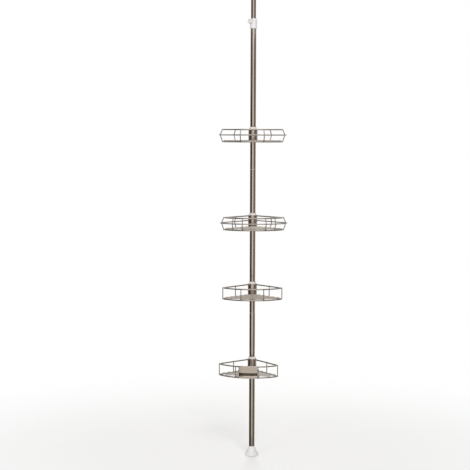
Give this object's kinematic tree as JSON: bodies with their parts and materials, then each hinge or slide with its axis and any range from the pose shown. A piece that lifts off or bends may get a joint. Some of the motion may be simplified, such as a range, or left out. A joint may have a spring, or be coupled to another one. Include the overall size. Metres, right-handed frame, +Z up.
{
  "type": "tension pole shelf unit",
  "caption": "Sprung floor-to-ceiling pole with quarter-round wire baskets that slide and swivel on it, for a bathroom corner.",
  "frame": {"origin": "on the pole's axis at the underside of the floor pad", "axes": "+Z up along the pole, -Y to the baskets' round fronts, +X to their right seen from the front"},
  "size_m": [0.2983, 0.2365, 2.4],
  "materials": {
    "stainless": "polished stainless steel",
    "spring_steel": "bright zinc-plated steel",
    "white_plastic": "satin white moulded plastic",
    "inner_plastic": "natural nylon",
    "rubber": "pale grey soft rubber"
  },
  "bodies": {
    "pole": {"foot_pad": "rubber", "foot_cone": "white_plastic", "lower_tube": "stainless", "lower_coupler": "inner_plastic", "middle_tube": "stainless", "upper_coupler": "inner_plastic", "upper_tube": "stainless", "lock_collar": "white_plastic"},
    "shoe": {"lock_shoe": "inner_plastic"},
    "knob": {"lock_screw": "spring_steel", "lock_knob": "white_plastic"},
    "extension": {"extension_tube": "stainless", "extension_guide": "inner_plastic", "spring_seat": "inner_plastic", "tension_spring": "spring_steel", "stop_pin": "spring_steel"},
    "plunger": {"plunger": "inner_plastic", "ceiling_cone": "white_plastic", "ceiling_pad": "rubber"},
    "sleeve1": {"shelf1_sleeve_right": "white_plastic", "shelf1_sleeve_left": "white_plastic"},
    "basket1": {"shelf1_hub": "stainless", "shelf1_bottom_rail": "stainless", "shelf1_top_rail": "stainless", "shelf1_floor_wires": "stainless", "shelf1_floor_brace": "stainless", "shelf1_outer_rail": "stainless", "shelf1_posts": "stainless"},
    "sleeve2": {"shelf2_sleeve_right": "white_plastic", "shelf2_sleeve_left": "white_plastic"},
    "basket2": {"shelf2_hub": "stainless", "shelf2_bottom_rail": "stainless", "shelf2_top_rail": "stainless", "shelf2_floor_wires": "stainless", "shelf2_floor_brace": "stainless", "shelf2_outer_rail": "stainless", "shelf2_posts": "stainless"},
    "sleeve3": {"shelf3_sleeve_right": "white_plastic", "shelf3_sleeve_left": "white_plastic"},
    "basket3": {"shelf3_hub": "stainless", "shelf3_bottom_rail": "stainless", "shelf3_top_rail": "stainless", "shelf3_floor_wires": "stainless", "shelf3_floor_brace": "stainless", "shelf3_posts": "stainless"},
    "sleeve4": {"shelf4_sleeve_right": "white_plastic", "shelf4_sleeve_left": "white_plastic"},
    "basket4": {"shelf4_hub": "stainless", "shelf4_bottom_rail": "stainless", "shelf4_top_rail": "stainless", "shelf4_floor_wires": "stainless", "shelf4_floor_brace": "stainless", "shelf4_posts": "stainless", "shelf4_front_plate": "stainless"}
  },
  "joints": [
    {"name": "extension_slide", "type": "slide", "parent": "pole", "child": "extension", "axis": [0, 0, 1], "range_m": [-0.2, 0.28]},
    {"name": "ceiling_plunger_slide", "type": "slide", "parent": "extension", "child": "plunger", "axis": [0, 0, 1], "range_m": [-0.03, 0], "stiffness_N_per_m": 3000, "springref_m": 0.01, "deforming": ["tension_spring"]},
    {"name": "lock_shoe_slide", "type": "slide", "parent": "pole", "child": "shoe", "axis": [-0.6428, -0.766, 0], "range_m": [0, 0.0015]},
    {"name": "lock_knob_turn", "type": "hinge", "parent": "shoe", "child": "knob", "pos_m": [0, 0, 1.934], "axis": [-0.6428, -0.766, 0], "range_deg": [0, 540]},
    {"name": "shelf1_height_slide", "type": "slide", "parent": "pole", "child": "sleeve1", "axis": [0, 0, 1], "range_m": [-0.15, 0.42]},
    {"name": "shelf1_swivel", "type": "hinge", "parent": "sleeve1", "child": "basket1", "pos_m": [0, 0, 1.412], "axis": [0, 0, 1], "continuous": true},
    {"name": "shelf2_height_slide", "type": "slide", "parent": "pole", "child": "sleeve2", "axis": [0, 0, 1], "range_m": [-0.115, 0.15]},
    {"name": "shelf2_swivel", "type": "hinge", "parent": "sleeve2", "child": "basket2", "pos_m": [0, 0, 1.0325], "axis": [0, 0, 1], "continuous": true},
    {"name": "shelf3_height_slide", "type": "slide", "parent": "pole", "child": "sleeve3", "axis": [0, 0, 1], "range_m": [-0.125, 0.115]},
    {"name": "shelf3_swivel", "type": "hinge", "parent": "sleeve3", "child": "basket3", "pos_m": [0, 0, 0.73], "axis": [0, 0, 1], "continuous": true},
    {"name": "shelf4_height_slide", "type": "slide", "parent": "pole", "child": "sleeve4", "axis": [0, 0, 1], "range_m": [-0.33, 0.125]},
    {"name": "shelf4_swivel", "type": "hinge", "parent": "sleeve4", "child": "basket4", "pos_m": [0, 0, 0.392], "axis": [0, 0, 1], "continuous": true}
  ],
  "couplings": [
    {"joint": "lock_shoe_slide", "follows": "lock_knob_turn", "m_per_rad": 0.00015915}
  ]
}
